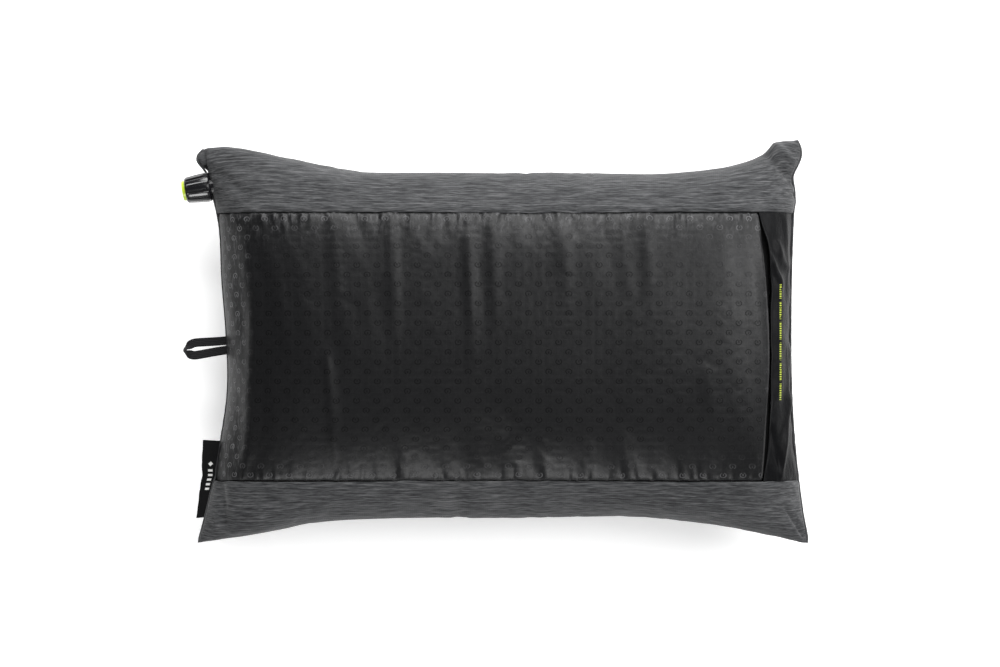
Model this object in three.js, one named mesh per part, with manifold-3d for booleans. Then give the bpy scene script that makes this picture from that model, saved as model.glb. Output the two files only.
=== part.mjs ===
// Camp pillow: a knit cover with a coated back panel and a stuff pocket, round a foam slab and an
// inflatable bladder with a twist-and-press valve. Millimetres, +Z up, lying on its sleeping face
// with the back panel up. X runs along the long side, and the origin is under the middle.
import * as THREE from 'three';
import { mergeVertices } from 'three/addons/utils/BufferGeometryUtils.js';
import Module from 'manifold-3d';

const wasm = await Module();
wasm.setup();

// Driving dimensions
const coverWidth = 284;           // flat width of the tube that the cover is sewn from
const coverHeight = 100;          // at the crown, inflated
const waistWidth = 240;           // across the middle, inflated
const seamHeight = 48;            // height of the side seams above the sleeping face
const bodyCentreX = 5;            // the valve and the loop stick out on the left
const seamHalfGap = 2;            // half the thickness of the cover at a side seam
const knitThickness = 1.2;
const panelThickness = 0.9;
const clearance = 0.4;            // between neighbouring pieces
const foamThickness = 38;
const foamTop = 40;
const liningInset = 2.6;          // from the cover's outer face to the pocket lining's
const liningThickness = 0.7;
const liningShare = 0.965;        // of the half length, where the lining stops short of the end seams
const filmThickness = 0.8;

// Where each end seam lies: at the waist, and at its upper and lower corner tips
const leftEnd = { waist: 195, upperTip: 208, lowerTip: 216 };
const rightEnd = { waist: 204, upperTip: 209, lowerTip: 216 };

// The two long seams that join the back panel to the knit, and the pocket mouth
const upperSeamY = 90;
const lowerSeamY = -98;
const mouthAtWaist = 0.92;        // as a share of the half length
const mouthSetBack = 0.045;       // how much further in it lies at the long seams
const mouthGapShare = 0.018;      // between the hem and the facing beyond it
const hemWidthShare = 0.03;
const hemThickness = 0.5;         // how far the turned hem stands above the panel
const lipHingeShare = 0.69;
const lipHingeGap = 0.002;        // shares kept free at the lip's fold and at the hem's edge

const valveSeat = { x: -197.5, y: 109.5, tilt: 9 };
const fluteCount = 12;

const part = new THREE.Group();

function finish(colour, roughness, metalness = 0) {
  return new THREE.MeshStandardMaterial({ color: colour, roughness, metalness });
}
const knitGrey = finish(0x5d5e61, 0.9);
const ripstopBlack = finish(0x26272a, 0.45);
const webbingBlack = finish(0x17171a, 0.8);
const labelBlack = finish(0x141415, 0.7);
const foamWhite = finish(0xd9d6cb, 0.95);
const filmGrey = finish(0x8d9196, 0.4);
const gripBlack = finish(0x111213, 0.15);
const buttonLime = finish(0xb7cc2c, 0.45);
const siliconeClear = finish(0xc9cdd0, 0.6);
const springSteel = finish(0xa8abae, 0.3, 1);

function addPiece(name, geometry, material, parent = part) {
  const mesh = new THREE.Mesh(geometry, material);
  mesh.name = name;
  parent.add(mesh);
  return mesh;
}

// ---- closed solids from grids of points ----

function signedVolume(points, triangles) {
  let volume = 0;
  for (const [a, b, c] of triangles) {
    volume += points[a].dot(new THREE.Vector3().crossVectors(points[b], points[c])) / 6;
  }
  return volume;
}

function solidGeometry(points, triangles) {
  const outward = signedVolume(points, triangles) > 0;
  const faces = outward ? triangles : triangles.map(([a, b, c]) => [a, c, b]);
  const geometry = new THREE.BufferGeometry().setFromPoints(points);
  geometry.setIndex(faces.flat());
  geometry.computeVertexNormals();
  return geometry;
}

// A sheet: pointAt(row, column, depth) gives its face at depth 0 and its back at depth 1.
function sheetGeometry(rows, columns, pointAt) {
  const points = [];
  const triangles = [];
  const index = (row, column, depth) => (depth * (rows + 1) + row) * (columns + 1) + column;
  const quad = (a, b, c, d) => triangles.push([a, b, c], [a, c, d]);
  for (const depth of [0, 1]) {
    for (let row = 0; row <= rows; row++) {
      for (let column = 0; column <= columns; column++) {
        points.push(pointAt(row / rows, column / columns, depth));
      }
    }
  }
  for (let row = 0; row < rows; row++) {
    for (let column = 0; column < columns; column++) {
      const corners = (depth) => [index(row, column, depth), index(row + 1, column, depth),
        index(row + 1, column + 1, depth), index(row, column + 1, depth)];
      quad(...corners(0));
      quad(...corners(1).reverse());
    }
  }
  const rim = (a, b) => quad(index(...a, 0), index(...a, 1), index(...b, 1), index(...b, 0));
  for (let row = 0; row < rows; row++) {
    rim([row, 0], [row + 1, 0]);
    rim([row + 1, columns], [row, columns]);
  }
  for (let column = 0; column < columns; column++) {
    rim([0, column + 1], [0, column]);
    rim([rows, column], [rows, column + 1]);
  }
  return solidGeometry(points, triangles);
}

// A loft through closed sections, each a list of points, with a flat cap on both ends.
function loftGeometry(sections) {
  const count = sections[0].length;
  const points = sections.flat();
  const triangles = [];
  for (let s = 0; s + 1 < sections.length; s++) {
    for (let k = 0; k < count; k++) {
      const next = (k + 1) % count;
      const [a, b, c, d] = [s * count + k, s * count + next, (s + 1) * count + next, (s + 1) * count + k];
      triangles.push([a, b, c], [a, c, d]);
    }
  }
  const outline = sections[0].map((p) => new THREE.Vector2(p.y, p.z));
  const caps = THREE.ShapeUtils.triangulateShape(outline, []);
  const turn = (contour) => Math.sign(THREE.ShapeUtils.area(contour));
  const sameTurn = turn(outline) === turn(caps[0].map((k) => outline[k]));
  const last = (sections.length - 1) * count;
  for (const cap of caps) {
    const [a, b, c] = sameTurn ? cap : [...cap].reverse();
    triangles.push([a, c, b], [last + a, last + b, last + c]);
  }
  return solidGeometry(points, triangles);
}

function toManifold(geometry) {
  const bare = geometry.clone();
  bare.deleteAttribute('normal');
  bare.deleteAttribute('uv');
  const merged = mergeVertices(bare, 1e-4);
  const triVerts = new Uint32Array(merged.index.array);
  const vertProperties = new Float32Array(merged.attributes.position.array);
  return new wasm.Manifold(new wasm.Mesh({ numProp: 3, vertProperties, triVerts }));
}

function fromManifold(solid) {
  const mesh = solid.getMesh();
  const geometry = new THREE.BufferGeometry();
  geometry.setAttribute('position', new THREE.BufferAttribute(new Float32Array(mesh.vertProperties), 3));
  geometry.setIndex(new THREE.BufferAttribute(new Uint32Array(mesh.triVerts), 1));
  geometry.computeVertexNormals();
  return geometry;
}

function cut(geometry, ...tools) {
  const solid = tools.reduce((rest, tool) => rest.subtract(toManifold(tool)), toManifold(geometry));
  return fromManifold(solid);
}

// ---- the inflated shape that every layer follows ----

const sleepDepth = 51;            // of the lower half, which the ground flattens
const squareness = 2.3;           // exponent of the section, where 2 is an ellipse
const slotShare = 0.2;            // share of the rise over which the two layers part at a seam
const lerp = (from, to, t) => from + (to - from) * t;
const power = (base, exponent) => Math.sign(base) * Math.abs(base) ** exponent;

// 1 in the middle and 0 at the end seams: a steep wall at the waist, a long slope into the corners
function swell(u, v) {
  const fullness = lerp(12, 4, v * v);
  return (1 - Math.abs(u) ** fullness) ** 0.45;
}
function halfWidth(u) {
  const drawIn = (coverWidth - waistWidth) / 2;
  return coverWidth / 2 - drawIn * (1 - Math.abs(u) ** 3) ** 1.43;
}
function halfLength(u, v) {
  const end = u < 0 ? leftEnd : rightEnd;
  const tip = v > 0 ? end.upperTip : end.lowerTip;
  return end.waist + (tip - end.waist) * Math.min(1, Math.abs(v)) ** 2.2;
}

// u runs from end seam to end seam, angle runs round the section from the back's middle over +Y.
// The layers keep seamHalfGap apart at the seams, where the section closes to a flat slot.
function coverPoint(u, angle, inset) {
  const across = power(Math.sin(angle), 2 / squareness);
  const up = power(Math.cos(angle), 2 / squareness);
  const reach = up > 0 ? coverHeight - seamHeight : sleepDepth;
  const slot = Math.sign(up) * Math.min(1, Math.abs(up) / slotShare);
  const rise = (reach - seamHalfGap) * swell(u, across) * up + (seamHalfGap - inset) * slot;
  const x = bodyCentreX + u * (halfLength(u, across) - inset);
  return new THREE.Vector3(x, (halfWidth(u) - inset) * across, Math.max(inset, seamHeight + rise));
}

function angleAtY(u, y, inset) {
  return Math.sign(y) * Math.asin(Math.abs(y / (halfWidth(u) - inset)) ** (squareness / 2));
}

// From one share of the length to another, with more rows near the end seams
const gather = (from, to, t) => Math.sin(lerp(Math.asin(from), Math.asin(to), t));
const mouthShare = (y) => mouthAtWaist - mouthSetBack * (y / upperSeamY) ** 2;

// A layer of the back, between two shares of the length and two distances across
function backLayer(rows, columns, startShare, endShare, lowY, highY, outer, inner) {
  return sheetGeometry(rows, columns, (row, column, depth) => {
    const y = lerp(lowY, highY, column);
    const u = gather(startShare(y), endShare(y), row);
    const inset = depth ? inner : outer;
    return coverPoint(u, angleAtY(u, y, inset), inset);
  });
}

// ---- valve: local +Y is its axis, pointing out of the cover ----

const neckRadius = 6;
const boreRadius = 4.2;
const boatHalfLength = 16;
const boatHalfHeight = 6.6;
const boatInner = -16;
const boatOuter = -8;

const valve = new THREE.Group();
valve.position.set(valveSeat.x, valveSeat.y, seamHeight);
valve.rotation.z = THREE.MathUtils.degToRad(90 + valveSeat.tilt);
valve.updateMatrix();

function lathe(profile, segments = 24) {
  return new THREE.LatheGeometry(profile.map(([r, y]) => new THREE.Vector2(r, y)), segments);
}
function rod(radius, low, high, segments = 20) {
  return lathe([[0, low], [radius, low], [radius, high], [0, high]], segments);
}
function boat(grow) {             // the lens-shaped foot that is welded between the two skins
  const half = boatHalfLength + grow;
  const high = boatHalfHeight + grow;
  const shape = new THREE.Shape();
  shape.moveTo(-half, 0);
  shape.quadraticCurveTo(0, 2 * high, half, 0);
  shape.quadraticCurveTo(0, -2 * high, -half, 0);
  const depth = boatOuter - boatInner + 2 * grow;
  const geometry = new THREE.ExtrudeGeometry(shape, { depth, bevelEnabled: false, curveSegments: 6 });
  return geometry.rotateX(-Math.PI / 2).translate(0, boatInner - grow, 0);
}
const inPlace = (geometry) => geometry.applyMatrix4(valve.matrix);
const portTool = () => inPlace(rod(neckRadius + 0.5, -12, 8));

function valveBaseGeometry() {
  const neck = lathe([[0, -9], [neckRadius, -9], [neckRadius, 4.4], [5.2, 4.4], [5.2, 6], [neckRadius, 6],
    [neckRadius, 8], [6.5, 8.3], [6.5, 9], [neckRadius, 9.6], [neckRadius, 11], [0, 11]]);
  const bore = lathe([[0, boatInner - 1], [boreRadius, boatInner - 1], [boreRadius, 0.3], [2.6, 0.9],
    [2.6, 2.1], [boreRadius, 2.7], [boreRadius, 12], [0, 12]]);
  return fromManifold(toManifold(boat(0)).add(toManifold(neck)).subtract(toManifold(bore)));
}

// The grip: one closed ring profile whose outer side is pressed in between the flutes
function collarGeometry() {
  const outside = [[6.35, 3], [9.6, 3], [10.4, 4], [10.2, 8], [9.5, 14], [8.9, 19.4], [8.3, 20.6], [7.4, 21]];
  const inner = [[7.4, 14.2], [2.4, 14.2], [2.4, 12.2], [6.9, 12.2], [6.9, 4.2], [6.35, 4.2], [6.35, 3]];
  const profile = [...outside, ...inner];
  const segments = fluteCount * 4;
  const geometry = lathe(profile, segments);
  const position = geometry.attributes.position;
  for (let i = 0; i < position.count; i++) {
    const [x, y, z] = [position.getX(i), position.getY(i), position.getZ(i)];
    const radius = Math.hypot(x, z);
    if (radius < 8.8 || y < 3.5 || y > 20) continue;
    const press = 0.5 * (1 - Math.cos(fluteCount * Math.atan2(z, x)));
    const scale = (radius - 0.8 * press) / radius;
    position.setXYZ(i, x * scale, y, z * scale);
  }
  return geometry;
}

function buttonGeometry() {
  return lathe([[0, -2.6], [1.2, -2.6], [1.2, -0.2], [1.7, 0.2], [1.7, 17.4], [6, 17.4], [7, 18.2], [7, 22.4],
    [6.4, 23.1], [2.4, 23.1], [1.6, 22.7], [0, 22.7]]);
}

function springGeometry() {
  const [turns, radius, wire, low, high] = [4.5, 3.3, 0.28, 14.9, 16.8];
  class Helix extends THREE.Curve {
    getPoint(t, target = new THREE.Vector3()) {
      const angle = t * turns * 2 * Math.PI;
      return target.set(radius * Math.cos(angle), lerp(low, high, t), radius * Math.sin(angle));
    }
  }
  const section = new THREE.Shape().absarc(0, 0, wire, 0, 2 * Math.PI);
  const path = { steps: 54, curveSegments: 2, extrudePath: new Helix() };
  return new THREE.ExtrudeGeometry(section, path);
}

function buildValve() {
  addPiece('valve_base', valveBaseGeometry(), gripBlack, valve);
  addPiece('valve_collar', collarGeometry(), gripBlack, valve);
  const ring = new THREE.TorusGeometry(6, 0.5, 6, 20).rotateX(Math.PI / 2).translate(0, 5.2, 0);
  addPiece('collar_o_ring', ring, siliconeClear, valve);
  addPiece('valve_button', buttonGeometry(), buttonLime, valve);
  addPiece('valve_spring', springGeometry(), springSteel, valve);
  const sealProfile = [[1.6, -1.2], [3.6, -1.2], [3.6, -0.3], [2.9, 0], [2.1, 0], [1.6, -0.6], [1.6, -1.2]];
  const clipProfile = [[1.5, -2.3], [2.6, -2.3], [2.6, -1.6], [1.5, -1.6], [1.5, -2.3]];
  addPiece('poppet_seal', lathe(sealProfile), siliconeClear, valve);
  addPiece('stem_clip', lathe(clipProfile), springSteel, valve);
  part.add(valve);
}

// ---- cover ----

function knitWrapGeometry() {
  const wrap = sheetGeometry(24, 22, (row, column, depth) => {
    const u = gather(-1, 1, row);
    const inset = depth ? knitThickness : 0;
    const start = angleAtY(u, upperSeamY + clearance / 2, inset);
    const end = 2 * Math.PI + angleAtY(u, lowerSeamY - clearance / 2, inset);
    return coverPoint(u, lerp(start, end, column), inset);
  });
  return cut(wrap, portTool());
}

// The tape inside an end seam, which stops short of the valve on the left
function seamTapeGeometry(side) {
  const [lowerEnd, upperEnd] = [-0.75, side < 0 ? 0.66 : 0.75];
  const [innerShare, outerShare, thickness] = [0.965, 0.99, 0.6];
  return sheetGeometry(1, 22, (row, column, depth) => {
    const u = side * lerp(innerShare, outerShare, row);
    const v = lerp(lowerEnd, upperEnd, column);
    const z = seamHeight + (0.5 - depth) * thickness;
    return new THREE.Vector3(bodyCentreX + u * halfLength(u, v), (halfWidth(u) - knitThickness) * v, z);
  });
}

function buildCover() {
  const edge = clearance / 2;
  const low = lowerSeamY + edge;
  const high = upperSeamY - edge;
  const underlap = 6;             // of the pocket lining, past the long seams
  const lipHinge = () => lipHingeShare;
  const hemStart = (y) => mouthShare(y) - hemWidthShare;
  const past = (share, gap) => (y) => share(y) + gap;
  const layer = (rows, from, to, outer = 0) => backLayer(rows, 8, from, to, low, high, outer, panelThickness);
  addPiece('knit_wrap', knitWrapGeometry(), knitGrey);
  addPiece('back_panel', layer(16, () => -1, lipHinge), ripstopBlack);
  addPiece('pocket_lip', layer(5, past(lipHinge, lipHingeGap), hemStart), ripstopBlack);
  addPiece('pocket_hem', layer(2, past(hemStart, lipHingeGap), mouthShare, -hemThickness), ripstopBlack);
  addPiece('access_flap', layer(4, past(mouthShare, mouthGapShare), () => 1), ripstopBlack);
  const lining = backLayer(20, 6, () => -liningShare, () => liningShare, low - underlap, high + underlap,
    liningInset, liningInset + liningThickness);
  addPiece('pocket_lining', lining, ripstopBlack);
  addPiece('side_seam_tape_left', seamTapeGeometry(-1), webbingBlack);
  addPiece('side_seam_tape_right', seamTapeGeometry(1), webbingBlack);
}

// ---- trims on the left seam ----

const loop = {
  rootX: -191.7, rootY: -2.9, tipX: -219.6, tipY: -6.6, legSpacing: 6.3, ribbonWidth: 6, thickness: 1.1,
};

// The ribbon lies flat at its root and stands on edge round its tip, which holds the eye open.
function hangLoopGeometry() {
  const { rootX, tipX, rootY, tipY, legSpacing, ribbonWidth, thickness } = loop;
  const turnRadius = 3.1;
  const turnX = tipX + turnRadius + thickness / 2;
  const centreY = (x) => lerp(rootY, tipY, (rootX - x) / (rootX - tipX));
  const upperLeg = [[rootX, legSpacing / 2], [-196, 3.7], [-203, 4.9], [-209, 4.6], [turnX, turnRadius]];
  const lowerLeg = upperLeg.map(([x, y]) => [x, -y]).reverse();
  const route = [...upperLeg, [turnX - turnRadius, 0], ...lowerLeg];
  const onSeam = ([x, y]) => new THREE.Vector3(x, centreY(x) + y, seamHeight);
  const path = new THREE.CatmullRomCurve3(route.map(onSeam));
  const stations = 30;
  const up = new THREE.Vector3(0, 0, 1);
  const sections = [];
  for (let i = 0; i <= stations; i++) {
    const t = i / stations;
    const outward = path.getTangent(t).cross(up).normalize().negate();
    const turned = THREE.MathUtils.smoothstep(1 - Math.abs(2 * t - 1), 0.2, 0.72) * Math.PI / 2;
    const [flat, edge] = [Math.cos(turned), Math.sin(turned)];
    const widthAxis = outward.clone().multiplyScalar(flat).addScaledVector(up, edge);
    const thickAxis = outward.multiplyScalar(-edge).addScaledVector(up, flat);
    sections.push([[-1, -1], [1, -1], [1, 1], [-1, 1]].map(([w, h]) => path.getPoint(t)
      .addScaledVector(widthAxis, w * ribbonWidth / 2).addScaledVector(thickAxis, h * thickness / 2)));
  }
  return loftGeometry(sections);
}

function sideLabelGeometry() {
  const [topY, bottomY, thickness] = [-71, -124, 1];
  const [topReach, bottomReach] = [12.5, 5.6];
  const seamX = (y) => bodyCentreX - halfLength(-1, y / halfWidth(1));
  return sheetGeometry(6, 2, (row, column, depth) => {
    const y = lerp(topY, bottomY, row);
    const reach = lerp(topReach, bottomReach, row) * column;
    return new THREE.Vector3(seamX(y) - clearance - reach, y, seamHeight + (depth ? -1 : 1) * thickness / 2);
  });
}

// ---- core ----

// The slab follows the sleeping face below and lies flat under the bladder.
function foamSlabGeometry() {
  const [endShare, sideShare, depthShare, thinnest] = [0.92, 0.88, 0.88, 6];
  return sheetGeometry(14, 10, (row, column, depth) => {
    const u = endShare * gather(-1, 1, row);
    const v = sideShare * gather(-1, 1, column);
    const drop = depthShare * sleepDepth * swell(u, v) * (1 - Math.abs(v) ** squareness) ** (1 / squareness);
    const lowest = foamTop - foamThickness + clearance;
    const underside = Math.min(foamTop - thinnest, Math.max(lowest, seamHeight - drop));
    const x = bodyCentreX + u * halfLength(u, v);
    return new THREE.Vector3(x, v * halfWidth(u), depth ? underside : foamTop);
  });
}

const bladderMargin = 9;          // from the cover's seams to the edge of the weld
const bladderCrown = 45;

function bladderPoint(u, v, lift) {
  const x = bodyCentreX + u * (halfLength(u, v) - bladderMargin);
  return new THREE.Vector3(x, v * (halfWidth(u) - bladderMargin), seamHeight + lift);
}
const weldShare = 0.96;           // the flat welded rim lies outside this share
const inside = (t, exponent, root) => Math.max(0, 1 - Math.abs(t / weldShare) ** exponent) ** root;
const upperLift = (u, v) => bladderCrown * inside(u, lerp(11, 4, v * v), 0.5) * inside(v, 2.6, 0.42);
const lowerDrop = (u, v) => 6.6 * inside(u, 8, 0.8) * inside(v, 6, 0.8);
const filmGap = 0.2;

function skinGeometry(rows, columns, liftAt) {
  return sheetGeometry(rows, columns, (row, column, depth) => {
    const u = gather(-1, 1, row);
    const v = gather(-1, 1, column);
    return bladderPoint(u, v, liftAt(u, v) + (depth ? 0 : filmThickness));
  });
}

// An I-beam of film: a web between two feet, one welded to each skin
function baffleGeometry(v) {
  const [stations, foot, web, gap] = [12, 0.036, 0.004, 1.7];
  const sections = [];
  for (let i = 0; i <= stations; i++) {
    const u = gather(-0.8, 0.8, i / stations);
    const low = (dv) => -filmGap - lowerDrop(u, v + dv) + gap;
    const high = (dv) => filmGap + upperLift(u, v + dv) - gap;
    const lowerHalf = [[-web, low, 1], [-foot, low, 1], [-foot, low, 0],
      [foot, low, 0], [foot, low, 1], [web, low, 1]];
    const upperHalf = lowerHalf.map(([dv, , step]) => [-dv, high, -step]);
    const outline = [...lowerHalf, ...upperHalf];
    const corner = ([dv, edge, step]) => bladderPoint(u, v + dv, edge(dv) + step * filmThickness);
    sections.push(outline.map(corner));
  }
  return loftGeometry(sections);
}

function buildCore() {
  addPiece('foam_slab', foamSlabGeometry(), foamWhite);
  const room = () => [inPlace(boat(0.5)), inPlace(rod(neckRadius + 0.5, -9, 4))];
  const upper = skinGeometry(18, 12, (u, v) => filmGap + upperLift(u, v));
  const lower = skinGeometry(12, 8, (u, v) => -filmGap - filmThickness - lowerDrop(u, v));
  addPiece('bladder_upper_skin', cut(upper, ...room()), filmGrey);
  addPiece('bladder_lower_skin', cut(lower, ...room()), filmGrey);
  [-0.5, 0, 0.5].forEach((v, i) => addPiece(`bladder_baffle_${i + 1}`, baffleGeometry(v), filmGrey));
}

buildCover();
addPiece('hang_loop', hangLoopGeometry(), webbingBlack);
addPiece('side_label', sideLabelGeometry(), labelBlack);
buildCore();
buildValve();

export default part;
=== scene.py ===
# Camp pillow: the looks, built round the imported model. Metres, +Z up, back panel up.
import math
import bpy
import numpy as np
from mathutils import Matrix, Vector


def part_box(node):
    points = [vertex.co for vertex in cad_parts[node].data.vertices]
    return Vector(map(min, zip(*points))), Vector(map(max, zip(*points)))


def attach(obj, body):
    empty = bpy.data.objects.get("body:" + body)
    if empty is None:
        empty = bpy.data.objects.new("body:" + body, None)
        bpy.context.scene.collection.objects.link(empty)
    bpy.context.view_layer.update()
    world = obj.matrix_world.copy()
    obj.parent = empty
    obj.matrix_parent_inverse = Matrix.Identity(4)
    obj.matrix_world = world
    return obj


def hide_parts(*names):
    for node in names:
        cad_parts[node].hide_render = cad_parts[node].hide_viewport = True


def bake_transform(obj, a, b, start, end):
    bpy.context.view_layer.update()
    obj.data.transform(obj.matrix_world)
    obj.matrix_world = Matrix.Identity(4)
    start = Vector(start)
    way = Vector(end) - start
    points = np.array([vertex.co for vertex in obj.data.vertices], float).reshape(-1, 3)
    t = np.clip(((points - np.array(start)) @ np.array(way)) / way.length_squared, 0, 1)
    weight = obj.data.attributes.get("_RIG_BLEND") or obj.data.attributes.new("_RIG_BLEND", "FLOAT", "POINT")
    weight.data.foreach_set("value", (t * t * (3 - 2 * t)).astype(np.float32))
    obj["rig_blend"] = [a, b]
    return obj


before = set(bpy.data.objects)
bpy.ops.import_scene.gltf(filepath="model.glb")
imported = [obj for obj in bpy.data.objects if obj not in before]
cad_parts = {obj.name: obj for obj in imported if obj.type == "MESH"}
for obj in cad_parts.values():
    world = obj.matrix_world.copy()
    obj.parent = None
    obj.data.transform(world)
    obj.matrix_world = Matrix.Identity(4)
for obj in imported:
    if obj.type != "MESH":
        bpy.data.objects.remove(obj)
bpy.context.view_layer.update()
scene = bpy.context.scene

# The inflated shape. u runs from end seam to end seam, and the way round starts at the upper seam
# and goes over the +Y edge, under the sleeping face, past the lower seam and over the back panel.
cover = {
    "centreX": 0.005,
    "seamHeight": 0.048,
    "crown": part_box("back_panel")[1].z - 0.003,
    "sleepDepth": 0.051,                    # of the lower half, which the ground flattens
    "squareness": 2.3,                      # exponent of the section, where 2 is an ellipse
    "leftEnd": (0.1945, 0.207, 0.2155),     # half lengths at the waist, the upper tip and the lower tip
    "rightEnd": (0.2035, 0.209, 0.216),
    "upperEdge": [(-1, 0.134), (-0.9, 0.1345), (-0.72, 0.1285), (-0.5, 0.1205), (-0.2, 0.1182),
                  (0.3, 0.1182), (0.58, 0.119), (0.8, 0.1255), (0.92, 0.133), (1, 0.141)],
    "lowerEdge": [(-1, 0.1415), (-0.85, 0.136), (-0.65, 0.1285), (-0.4, 0.1245), (0, 0.1235),
                  (0.5, 0.1245), (0.72, 0.130), (0.88, 0.1365), (1, 0.1415)],
    "upperSeam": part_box("back_panel")[1].y,
    "lowerSeam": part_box("back_panel")[0].y,
    "clothLength": 0.440,                   # over the crown, from end seam to end seam
    "rows": 160,
    "columns": (18, 64, 16, 70),            # upper band, sleeping face, lower band, panel
}
bandColumns, underColumns, lowBandColumns, panelColumns = cover["columns"]
ringColumns = sum(cover["columns"])
lowerSeamColumn = ringColumns - panelColumns


def smoothStep(low, high, value):
    t = np.clip((value - low) / (high - low), 0, 1)
    return t * t * (3 - 2 * t)


def smoothCurve(points, t):
    x, y = np.array(points).T
    slope = np.gradient(y, x)
    k = np.clip(np.searchsorted(x, t) - 1, 0, len(x) - 2)
    step = x[k + 1] - x[k]
    s = np.clip((t - x[k]) / step, 0, 1)
    return (y[k] * (1 + 2 * s) * (1 - s) ** 2 + slope[k] * step * s * (1 - s) ** 2
            + y[k + 1] * s * s * (3 - 2 * s) + slope[k + 1] * step * s * s * (s - 1))


def swell(u, v):
    # 1 in the middle and 0 at the end seams, with a longer slope into the corners
    fullness = 9 - 5.4 * v * v
    return (1 - np.abs(u) ** fullness) ** 0.55


def halfLength(u, v):
    waist, upper, lower = cover["leftEnd"] if u < 0 else cover["rightEnd"]
    return waist + (np.where(v > 0, upper, lower) - waist) * np.abs(v) ** 2.2


def section(u, steps=720):
    angle = np.linspace(0, 2 * np.pi, steps + 1)
    power = 2 / cover["squareness"]
    across = np.sign(np.sin(angle)) * np.abs(np.sin(angle)) ** power
    up = np.sign(np.cos(angle)) * np.abs(np.cos(angle)) ** power
    reach = np.where(up > 0, cover["crown"] - cover["seamHeight"], cover["sleepDepth"])
    upperWidth, lowerWidth = smoothCurve(cover["upperEdge"], u), smoothCurve(cover["lowerEdge"], u)
    x = cover["centreX"] + u * halfLength(u, across)
    y = across * np.where(across > 0, upperWidth, lowerWidth)
    z = np.maximum(0.0012, cover["seamHeight"] + reach * swell(u, across) * up)
    return np.column_stack([x, y, z])


def ringPoints(u):
    # even steps of length in each stretch: band, sleeping face, lower band, panel
    points = section(u)
    length = lengthAlong(points)
    y, quarter = points[:, 1], len(points) // 4
    atUpper = np.interp(cover["upperSeam"], y[:quarter], length[:quarter])
    atLower = np.interp(cover["lowerSeam"], y[3 * quarter:], length[3 * quarter:])
    bounds = [atUpper, length[quarter], length[3 * quarter], atLower, length[-1] + atUpper]
    stops = np.concatenate([np.linspace(bounds[i], bounds[i + 1], count, endpoint=False)
                            for i, count in enumerate(cover["columns"])]) % length[-1]
    return np.column_stack([np.interp(stops, length, points[:, axis]) for axis in range(3)])


def rowShares():
    # even steps of length over the crown, from end seam to end seam
    fine = np.linspace(-1, 1, 4001)
    x = fine * np.array([halfLength(u, 0) for u in fine])
    z = (cover["crown"] - cover["seamHeight"]) * swell(fine, 0)
    length = np.concatenate([[0], np.cumsum(np.hypot(np.diff(x), np.diff(z)))])
    return np.interp(np.linspace(0, length[-1], cover["rows"] + 1), length, fine)


shares = rowShares()

# The cloth is cut a little long beside the two long seams and at the ends, is held softly to the
# inflated shape, and gathers by itself as the simulation runs.
drape = {
    "frames": 18,
    "quality": 4,
    "pressure": 0.9,
    "bending": 0.08,
    "excess": 0.2,              # of length, where the grow group is 1
    "restExcess": 0.014,        # share of that away from seams and ends
    "endExcess": 0.3,
    "endZone": (0.93, 0.985),   # where that share begins, and where it is whole
    "gatherColumns": 3.2,       # how far the gathers reach in from a long seam
    "unevenness": 0.00022,      # of the cloth before it settles
    "bandUnevenness": 0.35,     # share of that off the panel
    "waves": 60,
    "seed": 5,
    "mass": 0.0003,
    "stiffness": 15,
    "shear": 5,
    "damping": 5,
    "hold": 0.004,              # how softly the cloth is held: everywhere, underneath, at seams, at ends
    "holdUnder": 0.05,
    "holdSeam": 0.04,
    "holdEnd": 0.3,
    "farthest": 0.009,          # no point may move further than this
}


def endCap(row):
    # pairs the two layers across an end seam, from the +Y edge round to the -Y edge
    under = [(bandColumns + i) % ringColumns for i in range(underColumns + 1)]
    over = [(bandColumns - i) % ringColumns for i in range(ringColumns - underColumns + 1)]
    triangles, i, j = [], 0, 0
    while i + 1 < len(under) or j + 1 < len(over):
        if j + 1 == len(over) or (i + 1 < len(under) and i * (len(over) - 1) <= j * (len(under) - 1)):
            corner = [under[i], under[i + 1], over[j]]
            i += 1
        else:
            corner = [under[i], over[j + 1], over[j]]
            j += 1
        if len(set(corner)) == 3:
            ends = [row * ringColumns + c for c in corner]
            triangles.append(ends if row else ends[::-1])
    return triangles


def meshObject(name, points, faces):
    mesh = bpy.data.meshes.new(name)
    mesh.from_pydata(np.asarray(points).reshape(-1, 3).tolist(), [], faces)
    mesh.update()
    piece = bpy.data.objects.new(name, mesh)
    scene.collection.objects.link(piece)
    return piece


def makeActive(piece):
    bpy.ops.object.select_all(action="DESELECT")
    bpy.context.view_layer.objects.active = piece
    piece.select_set(True)


def startEditing(piece):
    makeActive(piece)
    bpy.ops.object.mode_set(mode="EDIT")


def turnOutward(piece, smoothUpTo=None):
    startEditing(piece)
    bpy.ops.mesh.select_all(action="SELECT")
    if smoothUpTo is None:
        bpy.ops.mesh.remove_doubles(threshold=1e-6)
    bpy.ops.mesh.normals_make_consistent(inside=False)
    bpy.ops.object.mode_set(mode="OBJECT")
    if smoothUpTo is not None:
        bpy.ops.object.shade_smooth_by_angle(angle=math.radians(smoothUpTo))


def assign(piece, slot, body, *nodes):
    if nodes:
        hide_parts(*nodes)
    if body:
        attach(piece, body)
    return piece


def loftFaces(count, sides):
    # quads between neighbouring rings, with a cap at each end
    r, c = np.arange(count - 1)[:, None], np.arange(sides)[None, :]
    after = (c + 1) % sides
    quads = np.stack([r * sides + c, r * sides + after, (r + 1) * sides + after, (r + 1) * sides + c], -1)
    caps = [list(range(sides))[::-1], list(range((count - 1) * sides, count * sides))]
    return quads.reshape(-1, 4).tolist() + caps


def lengthAlong(path):
    return np.concatenate([[0], np.cumsum(np.linalg.norm(np.diff(path, axis=0), axis=1))])


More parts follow.
